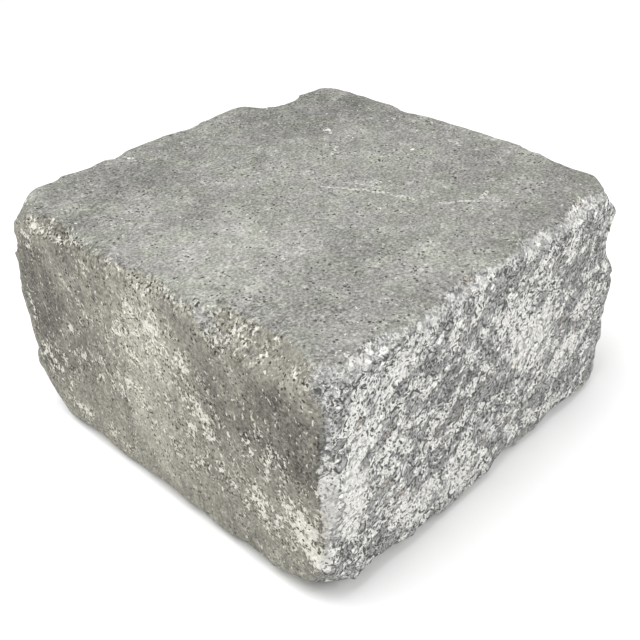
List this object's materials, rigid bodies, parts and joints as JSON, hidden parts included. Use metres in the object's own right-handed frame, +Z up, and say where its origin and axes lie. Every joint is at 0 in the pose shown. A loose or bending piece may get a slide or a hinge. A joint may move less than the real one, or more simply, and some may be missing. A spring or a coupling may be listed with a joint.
{
  "type": "garden wall block",
  "caption": "Square tumbled concrete block for low garden walls, with two moulded sides, two rough split faces and worn, chipped edges.",
  "frame": {"origin": "middle of the bed, the face that the block lies on", "axes": "+Z up through the course height; -Y out of the split face that shows in the wall; +X and -X out of the moulded sides"},
  "size_m": [0.178, 0.179, 0.1016],
  "materials": {
    "concrete": "matte, dry-cast concrete"
  },
  "bodies": {
    "root": {"wall_block": "concrete"}
  },
  "joints": []
}
